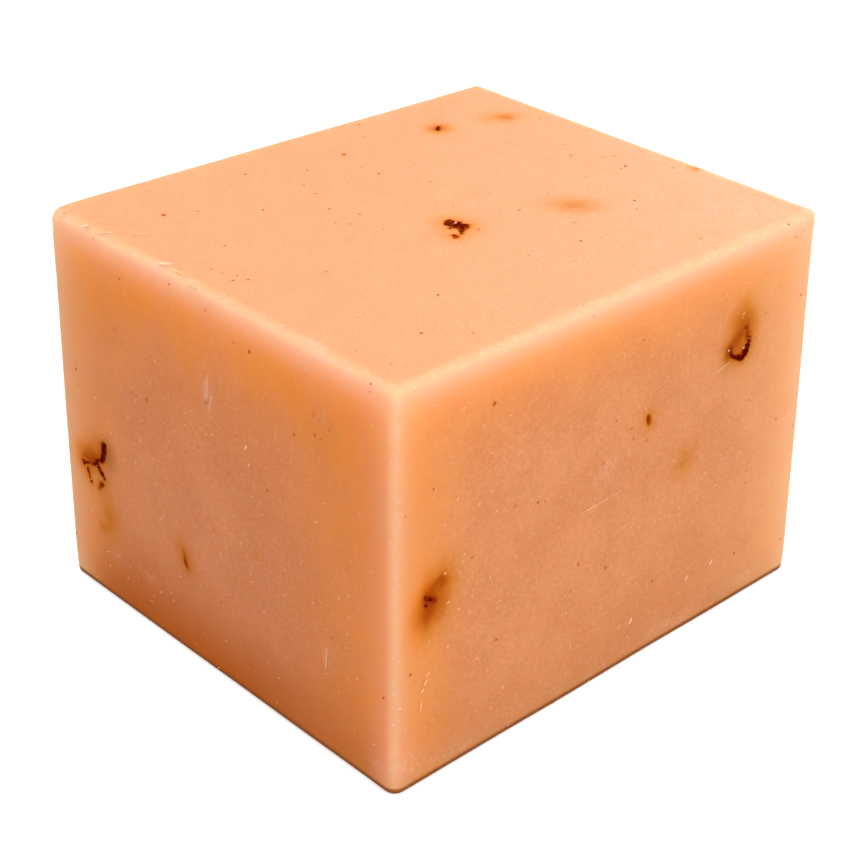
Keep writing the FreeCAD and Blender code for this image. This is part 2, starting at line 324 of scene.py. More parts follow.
# %% Which petals show, and where they are covered or rust-red (across, up, reach)
EXPOSED = {
    "petal_top_flake": petal_flake, "petal_top_crumb": petal_rust, "petal_top_back": petal_dark,
    "petal_front_curl": petal_dark, "petal_front_low": petal_dark, "petal_front_seed": seed_brown,
    "petal_side_curl": petal_dark, "petal_side_crumb": petal_rust, "petal_back_curl": petal_dark,
    "petal_back_low": petal_rust, "petal_far_curl": petal_dark, "petal_far_seed": seed_brown,
    "petal_base_curl": petal_dark,
}
BURIED = [
    "petal_top_buried", "petal_top_buried_back", "petal_front_buried", "petal_side_low", "petal_side_buried",
]
SUNK = {
    "petal_front_low": ("front", [(-26.0, 21.0, 5.0)]),
    "petal_front_curl": ("front", [(19.2, 34.9, 1.6), (19.9, 33.6, 0.7)]),
    "petal_side_curl": ("side", [(-23.0, 14.6, 0.9), (-22.9, 16.7, 1.3)]),
}
RUSTY = {
    "petal_front_curl": ("front", [(19.4, 34.2, 1.3)]),
    "petal_side_curl": ("side", [(-23.0, 15.4, 2.2)]),
}
print("petals that reach a wall:", len(EXPOSED))


# %% Helpers for meshes
def merged_copy(node):
    """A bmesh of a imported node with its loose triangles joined."""
    mesh = bmesh.new()
    mesh.from_mesh(bpy.data.objects[node].data)
    bmesh.ops.remove_doubles(mesh, verts=mesh.verts, dist=1e-6)
    return mesh


def finished_object(name, mesh, material):
    """A smooth mesh object at the origin with one material."""
    data = bpy.data.meshes.new(name)
    mesh.to_mesh(data)
    mesh.free()
    data.materials.append(material)
    data.shade_smooth()
    piece = bpy.data.objects.new(name, data)
    bpy.context.scene.collection.objects.link(piece)
    return piece


def gap_to(wall_name, point):
    """How far a point lies inside a wall."""
    wall = WALLS[wall_name]
    return (wall.point - point).dot(wall.outward)


def push_under(wall_name, vertex, depth):
    """Move a mesh point inwards until it lies at least so deep inside a wall."""
    vertex.co -= WALLS[wall_name].outward * max(0.0, depth - gap_to(wall_name, vertex.co))


def flat_ball(mesh, seat, half_sizes, subdivisions=2):
    """Add a ball with its three half sizes in millimetres, and give its points."""
    size = Matrix.Diagonal([v * MM for v in half_sizes] + [1])
    made = bmesh.ops.create_icosphere(mesh, subdivisions=subdivisions, radius=1.0, matrix=seat @ size)
    return made["verts"]


# %% Petals remade finer
PETAL_VOXEL = 0.05 * MM
TEAR, TEAR_SIZE = 0.07 * MM, 0.3 * MM
LUMP_FLATNESS, LUMP_DEPTH = 0.6, 0.3
FLUSH_GAP = 0.015 * MM
SINK_DEPTH = 0.32 * MM
RIM_WIDTH = 0.11 * MM


def remeshed(node, mesh):
    """The mesh melted into one fine skin."""
    rough = finished_object(node + "_rough", mesh, petal_dark)
    remesh = rough.modifiers.new("remesh", "REMESH")
    remesh.mode = "VOXEL"
    remesh.voxel_size = PETAL_VOXEL
    evaluated = rough.evaluated_get(bpy.context.evaluated_depsgraph_get())
    fine = bmesh.new()
    fine.from_mesh(evaluated.to_mesh())
    evaluated.to_mesh_clear()
    bpy.data.objects.remove(rough)
    return fine


def paint_rim(mesh):
    """Mark how near each point of the cut face is to the torn outline."""
    layer = mesh.verts.layers.float.new("rim")
    mesh.normal_update()
    cut = {v: any(gap_to(w, v.co) < 2 * FLUSH_GAP for w in WALLS) for v in mesh.verts}
    outline = [v for v in mesh.verts if not cut[v] and min(gap_to(w, v.co) for w in WALLS) < 3 * PETAL_VOXEL]
    tree = kdtree.KDTree(max(1, len(outline)))
    for index, vertex in enumerate(outline):
        tree.insert(vertex.co, index)
    tree.balance()
    for vertex in mesh.verts:
        distance = tree.find(vertex.co)[2] if outline else 1.0
        vertex[layer] = math.exp(-distance / RIM_WIDTH) if cut[vertex] else 1.0


def near_spots(mesh, wall_name, spots):
    """The points of a mesh for each spot, with a share that is above 0 within its reach."""
    for across, up, reach in spots:
        middle = WALLS[wall_name].at(across, up)
        for vertex in mesh.verts:
            yield vertex, min(1.0, 2 - 2 * (vertex.co - middle).length / (reach * MM))


def sink(mesh, wall_name, spots):
    """Push a petal under the wall near some spots."""
    for vertex, share in near_spots(mesh, wall_name, spots):
        push_under(wall_name, vertex, SINK_DEPTH * max(0.0, share))


def paint_rust(mesh, wall_name, spots):
    """Make a petal rust-red all over near some spots."""
    layer = mesh.verts.layers.float["rim"]
    for vertex, share in near_spots(mesh, wall_name, spots):
        vertex[layer] = max(vertex[layer], share)


def fine_petal(node, material):
    """A torn, wrinkled copy of a packed petal that stays inside the block."""
    mesh = merged_copy(node)
    if node in SUNK:
        sink(mesh, *SUNK[node])
    wall_name, lumps = LUMPS.get(node, ("front", []))
    for across, up, radius in lumps:
        seat = WALLS[wall_name].seat(across, up, LUMP_DEPTH * radius)
        flat_ball(mesh, seat, (radius, radius, LUMP_FLATNESS * radius))
    fine = remeshed(node, mesh)
    for vertex in fine.verts:
        vertex.co += noise.noise_vector(vertex.co / TEAR_SIZE) * TEAR
        for name in WALLS:
            push_under(name, vertex, FLUSH_GAP)
    paint_rim(fine)
    if node in RUSTY:
        paint_rust(fine, *RUSTY[node])
    return finished_object(node + "_fine", fine, material)


petal_pieces = {node: fine_petal(node, material) for node, material in EXPOSED.items()}
for piece in petal_pieces.values():
    piece.visible_shadow = False
print("petal faces:", {node: len(piece.data.polygons) for node, piece in petal_pieces.items()})

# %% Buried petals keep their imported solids
for node in BURIED:
    bpy.data.objects[node].data.materials.clear()
    bpy.data.objects[node].data.materials.append(petal_dark)


# %% Search trees, to ask how far a point is from a petal
def search_tree(piece):
    mesh = bmesh.new()
    mesh.from_mesh(piece.data)
    tree = bvhtree.BVHTree.FromBMesh(mesh)
    corners = np.array([v.co for v in mesh.verts])
    mesh.free()
    middle = (corners.max(0) + corners.min(0)) / 2
    return tree, Vector(middle), float(np.linalg.norm(corners - middle, axis=1).max())


EXPOSED_TREES = [search_tree(piece) for piece in petal_pieces.values()]
BURIED_TREES = [search_tree(bpy.data.objects[node]) for node in BURIED]


def petal_distance(point, trees, reach):
    """The distance to the nearest petal, where one is within reach."""
    nearest = reach
    for tree, middle, radius in trees:
        if (point - middle).length < radius + reach:
            found = tree.find_nearest(point, nearest)
            nearest = found[3] if found[0] else nearest
    return nearest


# %% [markdown]
# ## The block's skin
#
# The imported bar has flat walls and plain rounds. Soap looks softer than that: its walls wave by
# a few hundredths of a millimetre, its edges are a little uneven, one corner is worn, and the
# skin sinks where a petal was cut through. So the skin is a new closed mesh over the same walls.
#
# It starts as a cube of grid lines that crowd together near the edges, where the rounds need
# them. Each grid point is put on a rounded box, and then the box is sheared onto the walls. At
# the foot the round is squarer than a circle, because the bar was pressed on the bench: its
# corners are still round from above, but the walls run nearly straight down to the bench.

# %% Grid lines that crowd towards the edges
TOP_ROUND, UPRIGHT_ROUND, BASE_ROUND = 0.9 * MM, 1.1 * MM, 1.4 * MM
BASE_SQUARENESS = 4.0
END_FROM, END_BLEND = 0.4, 0.1
WORN_ROUND, WORN_REACH = 1.35 * MM, 2.4 * MM
BAND = 1.6 * MM
BAND_CELLS = 8
CELL = 0.8 * MM


def grid_lines(length):
    """Places from -length/2 to length/2: close together in a band at each end."""
    inner = length / 2 - BAND
    band = [inner + BAND * i / BAND_CELLS for i in range(1, BAND_CELLS + 1)]
    cells = round(2 * inner / CELL)
    middle = [-inner + 2 * inner * i / cells for i in range(cells + 1)]
    return [-v for v in reversed(band)] + middle + band


LINES = [grid_lines(BAR_LENGTH), grid_lines(BAR_WIDTH), grid_lines(BAR_HEIGHT)]
print("grid lines along x, y, z:", [len(line) for line in LINES])


# %% A cube of grid points
def cube_mesh(lines):
    """The corner points and faces of a box surface with the given lines along its three axes."""
    counts = [len(line) for line in lines]
    index_of = {}
    points = []
    faces = []

    def point(key):
        if key not in index_of:
            index_of[key] = len(points)
            points.append([lines[axis][key[axis]] for axis in range(3)])
        return index_of[key]

    for axis in range(3):
        one, two = (axis + 1) % 3, (axis + 2) % 3
        for end in (0, counts[axis] - 1):
            for i in range(counts[one] - 1):
                for j in range(counts[two] - 1):
                    ring = []
                    for step_i, step_j in ((0, 0), (1, 0), (1, 1), (0, 1)):
                        key = [0, 0, 0]
                        key[axis], key[one], key[two] = end, i + step_i, j + step_j
                        ring.append(point(tuple(key)))
                    faces.append(ring if end else ring[::-1])
    return np.array(points), faces


cube_points, cube_faces = cube_mesh(LINES)
print("skin before refining:", len(cube_points), "points")


# %% Round the box and shear it onto the walls
def smooth_step(value):
    value = np.clip(value, 0.0, 1.0)
    return value * value * (3 - 2 * value)


def rounded_box(points):
    """Each point of the sharp box moved onto the rounded one."""
    half = np.array([BAR_LENGTH, BAR_WIDTH, BAR_HEIGHT]) / 2
    height = points[:, 2] / BAR_HEIGHT
    radius = UPRIGHT_ROUND + (TOP_ROUND - UPRIGHT_ROUND) * smooth_step((height - END_FROM) / END_BLEND)
    radius += (BASE_ROUND - UPRIGHT_ROUND) * smooth_step((-END_FROM - height) / END_BLEND)
    worn_corner = half * np.array([-1, 1, 1])
    distance = np.linalg.norm(points - worn_corner, axis=1)
    radius += (WORN_ROUND - radius) * np.exp(-((distance / WORN_REACH) ** 2))
    inner = np.clip(points, radius[:, None] - half, half - radius[:, None])
    outward = points - inner
    level = np.hypot(outward[:, 0], outward[:, 1])
    power = np.where(outward[:, 2] < 0, BASE_SQUARENESS, 2.0)
    length = (level**power + np.abs(outward[:, 2]) ** power) ** (1 / power)
    return inner + outward * (radius / length)[:, None]


def shear(points):
    """The rounded box fitted to the leaning, skewed and falling walls."""
    x, y, z = points[:, 0], points[:, 1], points[:, 2] + BAR_HEIGHT / 2
    x_low = -HALF_L + SIDE_LEAN * z
    x_high = HALF_L - FAR_LEAN * z + FAR_SKEW * (y - HALF_W)
    y_low = -HALF_W + FRONT_LEAN * z
    y_high = HALF_W - BACK_SKEW * (x + HALF_L)
    z_high = BAR_HEIGHT + TOP_FALL_X * (x - HALF_L) + TOP_FALL_Y * (y - HALF_W)
    across = x_low + (x_high - x_low) * (x / BAR_LENGTH + 0.5)
    deep = y_low + (y_high - y_low) * (y / BAR_WIDTH + 0.5)
    return np.stack([across, deep, z_high * z / BAR_HEIGHT], axis=1)


skin_points = shear(rounded_box(cube_points))
print("skin spans in mm:", np.round((skin_points.max(0) - skin_points.min(0)) / MM, 2))

# %% [markdown]
# Near a petal the skin needs much finer cells, because the pit round it is only a few tenths of
# a millimetre wide. The cells are divided in steps, each one closer to the petals.

# %% Divide the skin near the petals
REFINE_STEPS = [
    (EXPOSED_TREES, 2.2 * MM), (EXPOSED_TREES, 0.9 * MM), (EXPOSED_TREES, 0.5 * MM),
    (BURIED_TREES, 1.6 * MM), (BURIED_TREES, 0.9 * MM),
]

skin_mesh = bmesh.new()
skin_vertices = [skin_mesh.verts.new(p) for p in skin_points]
for ring in cube_faces:
    skin_mesh.faces.new([skin_vertices[i] for i in ring])
for trees, reach in REFINE_STEPS:
    near = set()
    for face in skin_mesh.faces:
        if petal_distance(face.calc_center_median(), trees, reach) < reach:
            near.update(face.edges)
    skin_mesh.edges.index_update()
    in_order = sorted(near, key=lambda edge: edge.index)
    bmesh.ops.subdivide_edges(skin_mesh, edges=in_order, cuts=1, use_grid_fill=True)
skin_mesh.normal_update()
print("skin after refining:", len(skin_mesh.verts), "points")

# %% [markdown]
# ## What the skin's colour needs to know
#
# Light that leaks into the soap over its edges is painted into the colour as a glow: orange
# near the top and the uprights ("rim"), pale at the far and back ends, where light comes
# through ("end_glow"), and dull in the middle. Each upright edge has a painted pale highlight
# ("ridge_highlight"), and the walls a painted pale glow under the top ("shoulder_glow"). The
# side and back get painted shade ("shade"), and their foot is painted darker still
# ("foot_shade"), down to a painted contact shadow at the line where the bar meets the bench
# ("contact_shadow"). The top is painted paler, as the light falls on it ("top_light"). The
# edges are rubbed ("worn"), and their pale colour is partly a painted highlight. All of these
# follow the shape, so they are worked out here for each point of the mesh and kept as
# attributes that the material reads.

# %% Attributes that follow the edges
TOP_GLOW, SIDE_GLOW, FOOT_REACH = 5.8 * MM, 6.0 * MM, 8.0 * MM
DARK_SIDE_MORE = 0.8
TOP_LIGHT_REACH, FOOT_FRONT = 0.5 * MM, 0.22
ON_WALL, DARK_WALLS, LIT_END = 0.5 * MM, 1.5 * MM, 6 * MM
RIDGE_WIDTH, SHOULDER_WIDTH, WORN_WIDTH = 2.6 * MM, 2.5 * MM, 1.1 * MM
CONTACT_TOP, CONTACT_BLUR = 1.1 * MM, 0.3 * MM
END_GLOW_WIDE = {"far": 9 * MM, "back": 6 * MM}
END_GLOW_NARROW = {"far": 2.5 * MM, "back": 2.0 * MM}


def fading(gap, reach, power=1):
    """1 at no distance, and less further off; a power above 1 keeps it up longer, then drops it."""
    return np.exp(-((gap / reach) ** power))


places = np.array([v.co for v in skin_mesh.verts])
gaps = {name: np.abs(wall.split(places)[2]) * MM for name, wall in WALLS.items()}
upright_gaps = np.sort(np.stack([gaps[name] for name in UPRIGHTS]), axis=0)
all_gaps = np.sort(np.stack(list(gaps.values())), axis=0)
on_upright = fading(upright_gaps[0], ON_WALL)
dark_side = fading(np.minimum(gaps["side"], gaps["back"]), DARK_WALLS)
# Masks for the painted glow of light leaking in over the top and the upright edges.
over_top = fading(gaps["top"], TOP_GLOW * (1 + DARK_SIDE_MORE * dark_side), 1.5)
towards_front = smooth_step(-places[:, 1] / HALF_W)
side_reach = SIDE_GLOW * (1 + dark_side * (0.5 + 0.6 * towards_front))
round_side = fading(upright_gaps[1], side_reach, 2) * (1 - 0.8 * fading(gaps["far"], LIT_END))
# Painted shade, darker towards the foot: most on the side, less on the front and near the back.
foot_shade = (FOOT_FRONT + (1 - FOOT_FRONT) * dark_side) * fading(places[:, 2], FOOT_REACH, 1.8)
foot_shade *= (1 - fading(gaps["back"], LIT_END, 2)) * (1 - 0.4 * towards_front * dark_side)
# Masks for the painted glow of light coming through the far and back ends.
end_glow_shares = {
    name: 0.5 * fading(gaps[name], END_GLOW_WIDE[name], 2) + 0.6 * fading(gaps[name], END_GLOW_NARROW[name], 2)
    for name in END_GLOW_WIDE
}
skin_paint = {
    # Painted glow: orange light leaking in near the top and the uprights.
    "rim": on_upright * (1 - (1 - over_top) * (1 - 0.8 * round_side)),
    # Painted shade at the foot.
    "foot_shade": foot_shade,
    # Painted glow at the far and back ends.
    "end_glow": on_upright * np.clip(end_glow_shares["far"] + end_glow_shares["back"], 0, 1),
    "shade": dark_side * on_upright,
    # Painted contact shadow along the lowest millimetre of the walls.
    "contact_shadow": smooth_step((CONTACT_TOP - places[:, 2]) / CONTACT_BLUR),
    # Painted light: the top paler, as the light falls on it.
    "top_light": fading(gaps["top"], TOP_LIGHT_REACH),
    # Rubbed edges: wear, whose pale colour is partly a painted highlight.
    "worn": np.clip(1 - all_gaps[1] / WORN_WIDTH, 0, 1) * smooth_step(places[:, 2] / (2 * MM) - 0.5),
    # Painted highlight along each upright edge.
    "ridge_highlight": fading(upright_gaps[1], RIDGE_WIDTH, 1.5),
    # Painted glow: a pale band on the walls under the top edge.
    "shoulder_glow": on_upright * fading(gaps["top"], SHOULDER_WIDTH, 2),
}
print("painted:", ", ".join(skin_paint))

# %% [markdown]
# A petal stains the soap round it. The stain soaks up light the way tea does: a little of it
# turns the soap yellow, more turns it orange, and a lot turns it dark red-brown. So only the
# amount of stain is worked out here. The distance to the petals gives part of it. The
# rest are ovals on the walls, set down one by one: where on the wall, how big, how far turned,
# and how much. Bits that lie deep only dull the soap above them. Scuffs are pale dried patches.

# %% Stains
STAIN_OVALS = [
    ("front", (18.4, 35.2), (2.1, 2.8), 0, 0.95),
    ("front", (16.9, 33.2), (1.5, 1.6), 0, 0.6),
    ("front", (19.3, 34.0), (0.4, 1.1), 5, 1.1),
    ("front", (17.4, 34.2), (0.9, 0.6), 25, 0.5),
    ("front", (16.3, 32.8), (0.45, 0.9), 0, 0.8),
    ("front", (17.9, 33.0), (0.9, 0.8), 20, 0.2),
    ("front", (-26.0, 20.9), (2.3, 3.6), -25, 0.85),
    ("front", (-26.6, 21.2), (0.9, 1.7), -20, 0.6),
    ("front", (-26.35, 21.15), (0.6, 0.36), -25, 2.0),
    ("front", (-26.7, 19.5), (0.9, 1.3), -20, 0.4),
    ("front", (-24.7, 22.5), (0.5, 0.9), 10, 0.6),
    ("front", (-25.6, 22.9), (0.8, 0.4), 15, 0.5),
    ("front", (10.2, 21.8), (1.7, 1.8), 0, 0.2),
    ("side", (-22.3, 17.4), (2.6, 1.8), 32, 0.8),
    ("side", (-21.6, 17.6), (1.9, 0.7), 38, 0.35),
    ("side", (-23.2, 16.6), (1.0, 0.45), 8, 0.6),
    ("side", (-19.4, 10.8), (1.5, 2.4), -5, 0.3),
    ("side", (-20.8, 8.8), (0.9, 0.8), 0, 0.4),
    ("side", (-5.6, 12.4), (1.3, 1.8), 22, 0.3),
    ("side", (-5.5, 12.2), (0.3, 0.9), 22, 0.8),
    ("side", (-5.1, 11.3), (0.32, 0.5), 10, 2.4),
    ("top", (11.0, -8.7), (3.0, 2.0), -50, 0.3),
    ("top", (24.4, 14.4), (1.2, 1.2), 0, 0.6),
    ("top", (23.1, 15.8), (1.9, 1.4), 0, 0.22),
    ("top", (15.8, 17.1), (1.3, 1.2), 0, 0.7),
    ("top", (-1.9, -4.4), (1.6, 2.2), 0, 0.15),
    ("top", (28.8, -10.5), (0.8, 0.4), -20, 0.5),
]
DEEP_OVALS = [
    ("top", (11.0, -8.7), (2.3, 1.5), -50, 0.16),
    ("top", (24.4, 14.4), (1.1, 1.1), 0, 0.10),
    ("side", (-18.7, 18.6), (1.4, 1.9), 0, 0.3),
    ("front", (16.0, 32.2), (1.4, 1.9), 0, 0.14),
]
SCUFF_OVALS = [
    ("front", (-2.0, 25.9), (1.9, 1.3), 40, 0.5),
    ("front", (-29.2, 3.2), (1.8, 1.3), 20, 0.4),
    ("front", (-24.0, 2.0), (4.0, 0.9), 0, 0.35),
    ("side", (-0.6, 33.8), (0.9, 2.6), 5, 0.5),
    ("side", (17.4, 11.5), (0.8, 1.9), 0, 0.35),
    ("side", (-18.0, 6.0), (1.5, 1.1), 0, 0.35),
    ("side", (-12.0, 6.5), (1.3, 0.8), 0, 0.35),
    ("side", (25.4, 3.0), (1.3, 1.2), 0, 0.35),
    ("front", (10.0, 2.0), (6.0, 0.7), 0, 0.35),
    ("front", (22.0, 2.4), (4.0, 0.7), 0, 0.3),
    ("top", (-30.2, 8.0), (0.8, 1.4), 0, 0.7),
    ("top", (-30.0, -15.0), (0.9, 1.6), 0, 0.5),
]
OVAL_DEPTH, OVAL_FALL = 1.5, 1.3
WARP, WARP_SIZE = 0.5 * MM, 1.3 * MM
LOOK_REACH = 4 * MM
SOAK, SOAK_BURIED, FRINGE = (0.4, 0.8 * MM), (0.2, 0.9 * MM), (1.1, 0.12 * MM)


def oval_share(points, wall_name, middle, half, turn, strength):
    """How strongly an oval on a wall colours each point."""
    across, up, out = WALLS[wall_name].split(points)
    angle = math.radians(turn)
    right = (across - middle[0]) * math.cos(angle) + (up - middle[1]) * math.sin(angle)
    above = (up - middle[1]) * math.cos(angle) - (across - middle[0]) * math.sin(angle)
    reach = (right / half[0]) ** 2 + (above / half[1]) ** 2 + (out / OVAL_DEPTH) ** 2
    return strength * np.exp(-OVAL_FALL * reach)


def all_ovals(points, ovals):
    """All the ovals added up."""
    return sum(oval_share(points, *oval) for oval in ovals)


def soaked(gap, strength, reach):
    """The stain at some distance from a petal."""
    return strength * fading(gap, reach)


warp = np.array([noise.noise_vector(v.co / WARP_SIZE) for v in skin_mesh.verts]) * WARP
petal_gap = np.array([petal_distance(v.co, EXPOSED_TREES, LOOK_REACH) for v in skin_mesh.verts])
buried_gap = np.array([petal_distance(v.co, BURIED_TREES, LOOK_REACH) for v in skin_mesh.verts])
near_petals = soaked(petal_gap, *SOAK) + soaked(buried_gap, *SOAK_BURIED) + soaked(petal_gap, *FRINGE)
skin_paint["stain"] = near_petals + all_ovals(places + warp, STAIN_OVALS)
skin_paint["deep"] = all_ovals(places + warp, DEEP_OVALS)
skin_paint["scuff"] = np.clip(all_ovals(places + warp, SCUFF_OVALS), 0, 1)
print("points in a stain:", int((skin_paint["stain"] > 0.2).sum()))

# %% [markdown]
# ## Relief of the skin
#
# Three things move the skin's points: a slow wave, as the wire left it; small nicks along the
# edges; and the pits, where the soap has shrunk back a little from a cut petal. The wave is
# lowered, so that it stays inside the flat walls.

# %% Relief
WAVE_HEIGHT, WAVE_LENGTH = 0.05 * MM, 14.0 * MM
NICK_DEPTH, NICK_LENGTH = 0.10 * MM, 1.4 * MM
PIT_DEPTH, PIT_REACH = 0.12 * MM, 0.26 * MM
WAVE_SINK, NICK_FLOOR = 0.7, 0.1
NICK_SHIFT = Vector((7, 3, 5))

for index, vertex in enumerate(skin_mesh.verts):
    place = vertex.co.copy()
    wave = (noise.noise(place / WAVE_LENGTH) - WAVE_SINK) * WAVE_HEIGHT
    nick = max(0.0, noise.noise(place / NICK_LENGTH + NICK_SHIFT) - NICK_FLOOR) * NICK_DEPTH
    pit = PIT_DEPTH * float(smooth_step(1 - petal_gap[index] / PIT_REACH))
    vertex.co = place + vertex.normal * (wave - nick * skin_paint["worn"][index] - pit)
for name, values in skin_paint.items():
    layer = skin_mesh.verts.layers.float.new(name)
    for vertex, value in zip(skin_mesh.verts, values):
        vertex[layer] = value
print("deepest pit in mm:", round(PIT_DEPTH / MM, 2))

# %% [markdown]
# ## Soap as a material
#
# Cold-process soap is a cloudy wax: light goes in, scatters about and comes out a few
# millimetres away, redder than it went in. The shader's subsurface scattering does that. The
# colour underneath is clouded by slow noise and grained by fine noise, some of it drawn out the
# way the wire was dragged. Then the attributes tint it: the painted glow at the edges and ends,
# the painted shade and the painted highlights, the painted paler top, which gets a grain of its
# own, the rubbed places, partly a painted highlight, and the painted contact shadow. The stain
# comes last but one and multiplies what is there: the tint to the power of the stain is what
# light keeps on its way.

# %% Soap
BODY, BODY_DULL = rgb(237, 156, 104), rgb(230, 148, 96)
GRAIN_PALE, GRAIN_DARK = rgb(249, 184, 140), rgb(220, 124, 64)
PAINTED_TOP_LIGHT = rgb(253, 164, 122)
PAINTED_EDGE_GLOW = rgb(255, 157, 50)
PAINTED_SHOULDER_GLOW = rgb(255, 190, 160)
PAINTED_FOOT_SHADE = rgb(197, 97, 26)
PAINTED_END_GLOW, SHADE_TINT = rgb(255, 194, 144), (0.98, 0.895, 0.96, 1)
PAINTED_CONTACT_SHADOW = rgb(148, 80, 38)
PAINTED_RIDGE_HIGHLIGHT = rgb(255, 174, 132)
RUBBED_AND_EDGE_HIGHLIGHT = rgb(255, 196, 172)
STAIN_TINT = (0.66, 0.37, 0.04, 1)

DRAG_WAY = (1, -1, 1.3)


def make_soap():
    nodes = Nodes("soap")
    colour = nodes.mix(nodes.ramp(nodes.noise(7.0, 3.0, 0.55), 0.35, 0.65), BODY, BODY_DULL)
    colour = nodes.mix(nodes.ramp(nodes.noise(0.7, 4.0, 0.7), 0.45, 0.8, 0.0, 0.4), colour, GRAIN_PALE)
    colour = nodes.mix(nodes.ramp(nodes.noise(0.45, 3.0, 0.7), 0.52, 0.8, 0.0, 0.45), colour, GRAIN_DARK)
    drag = nodes.noise(0.18, 2.0, 0.6, nodes.stretched(DRAG_WAY, 3.0))
    colour = nodes.mix(nodes.ramp(drag, 0.5, 0.72, 0.0, 0.5), colour, GRAIN_PALE)
    grit = nodes.noise(0.16, 2.0, 0.6)
    colour = nodes.mix(nodes.ramp(grit, 0.52, 0.72, 0.0, 0.5), colour, GRAIN_DARK)
    patchy = nodes.ramp(nodes.noise(6.0, 2.0, 0.5), 0.3, 0.7, 0.6, 1.0)
    # Painted glow: orange light leaking in over the edges, in patches.
    colour = nodes.mix(nodes.times(nodes.attribute("rim"), patchy), colour, PAINTED_EDGE_GLOW)
    # Painted glow: pale light coming through the far and back ends.
    colour = nodes.mix(nodes.times(nodes.attribute("end_glow"), 0.9), colour, PAINTED_END_GLOW)
    colour = nodes.mix(nodes.attribute("shade"), colour, SHADE_TINT, "MULTIPLY")
    # Painted shade: the foot darker and more saturated.
    colour = nodes.mix(nodes.attribute("foot_shade"), colour, PAINTED_FOOT_SHADE)
    # Painted glow: a pale band under the top edge.
    colour = nodes.mix(nodes.times(nodes.attribute("shoulder_glow"), 0.92), colour, PAINTED_SHOULDER_GLOW)
    # Painted highlight along the upright edges.
    colour = nodes.mix(nodes.times(nodes.attribute("ridge_highlight"), 0.85), colour, PAINTED_RIDGE_HIGHLIGHT)
    # Painted light: the top paler, as the light falls on it. Its grain is the soap's own.
    top_light = nodes.attribute("top_light")
    colour = nodes.mix(nodes.times(top_light, 0.8), colour, PAINTED_TOP_LIGHT)
    colour = nodes.mix(nodes.times(top_light, nodes.ramp(drag, 0.5, 0.72, 0.0, 0.4)), colour, GRAIN_PALE)
    colour = nodes.mix(nodes.times(top_light, nodes.ramp(grit, 0.52, 0.72, 0.0, 0.4)), colour, GRAIN_DARK)
    patches = nodes.ramp(nodes.noise(0.5, 4.0, 0.7), 0.42, 0.62, 0.15, 1.0)
    colour = nodes.mix(nodes.times(nodes.attribute("scuff"), patches), colour, RUBBED_AND_EDGE_HIGHLIGHT)
    # Rubbed edges: pale wear, partly a painted highlight along the edges.
    rubbed_and_highlight = nodes.ramp(nodes.noise(1.1, 4.0, 0.7), 0.45, 0.75, 0.3, 0.9)
    colour = nodes.mix(nodes.times(nodes.attribute("worn"), rubbed_and_highlight), colour, RUBBED_AND_EDGE_HIGHLIGHT)
    # Painted contact shadow where the bar meets the bench.
    colour = nodes.mix(nodes.attribute("contact_shadow"), colour, PAINTED_CONTACT_SHADOW)
    passed = nodes.add("ShaderNodeGamma", {"Color": STAIN_TINT, "Gamma": nodes.attribute("stain")})[0]
    colour = nodes.mix(1.0, colour, passed, "MULTIPLY")
    colour = nodes.mix(nodes.attribute("deep"), colour, (0, 0, 0, 1))

    normal = nodes.bump(nodes.noise(2.5, 3.0, 0.5), 0.05)
    normal = nodes.bump(nodes.noise(0.4, 5.0, 0.65), 0.02, normal)
    normal = nodes.bump(drag, 0.02, normal)
    return nodes.shade(
        Base_Color=colour,
        Roughness=nodes.ramp(nodes.noise(3.0, 4.0, 0.6), 0.3, 0.7, 0.42, 0.6),
        Subsurface_Weight=1.0,
        Subsurface_Radius=(1.0, 0.6, 0.4),
        Subsurface_Scale=5.0 * MM,
        IOR=1.4,
        Specular_IOR_Level=0.12,
        Normal=normal,
    )


soap = make_soap()
skin_mesh.normal_update()
flat_normals = np.array([v.normal for v in skin_mesh.verts])
soap_skin = finished_object("soap_skin", skin_mesh, soap)
print("skin triangles:", sum(len(p.vertices) - 2 for p in soap_skin.data.polygons))

# %% [markdown]
# Light that soaks in over an edge makes the last few millimetres of a wall shine as if the edge
# were much rounder than it is. The edge itself is crisp, so the shape can't be rounded. The
# mesh's own normals can: near the top they lean up, and near the front and side edges they lean
# round the edge. Near the far and back ends, where light comes through the thin soap, they lean
# a little away from the end and up, which keeps the bar's outer edges bright.

# %% Soft normals near the edges
SOFTNESS = {
    "top": (1.25, 3.0 * MM), "front": (1.1, 2.4 * MM), "side": (0.8, 2.2 * MM),
    "far": (-0.3, 3.0 * MM), "back": (-0.1, 3.0 * MM),
}
END_GLOW_LIFT = {"far": 0.3, "back": 0.12}


def soft_normals(normals):
    """The skin's normals leaned over towards the nearest edges."""
    leaned = normals.copy()
    for name, (softness, reach) in SOFTNESS.items():
        share = 1.0 if name == "top" else 1 - skin_paint["top_light"]
        lean = softness * share * fading(gaps[name], reach)
        leaned += np.outer(lean, np.array(WALLS[name].outward))
    for name, lift in END_GLOW_LIFT.items():
        leaned[:, 2] += lift * end_glow_shares[name] * on_upright
    return leaned / np.linalg.norm(leaned, axis=1)[:, None]


soap_skin.data.normals_split_custom_set_from_vertices(soft_normals(flat_normals))
print("normals leaned:", soap_skin.data.has_custom_normals)

# %% [markdown]
# ## Crumbs of petal and pale flecks
#
# The soap is full of dust: crumbs of petal a third of a millimetre across, and pale slivers of
# dried soap that the wire dragged over the cut. There are hundreds, all over, so Geometry Nodes
# scatter them: points are strewn over the skin, thinned by noise into loose drifts, and each
# gets a flattened bead, seated on the skin, turned and sized at random. Chips of white soap
# keep to the rubbed edges.

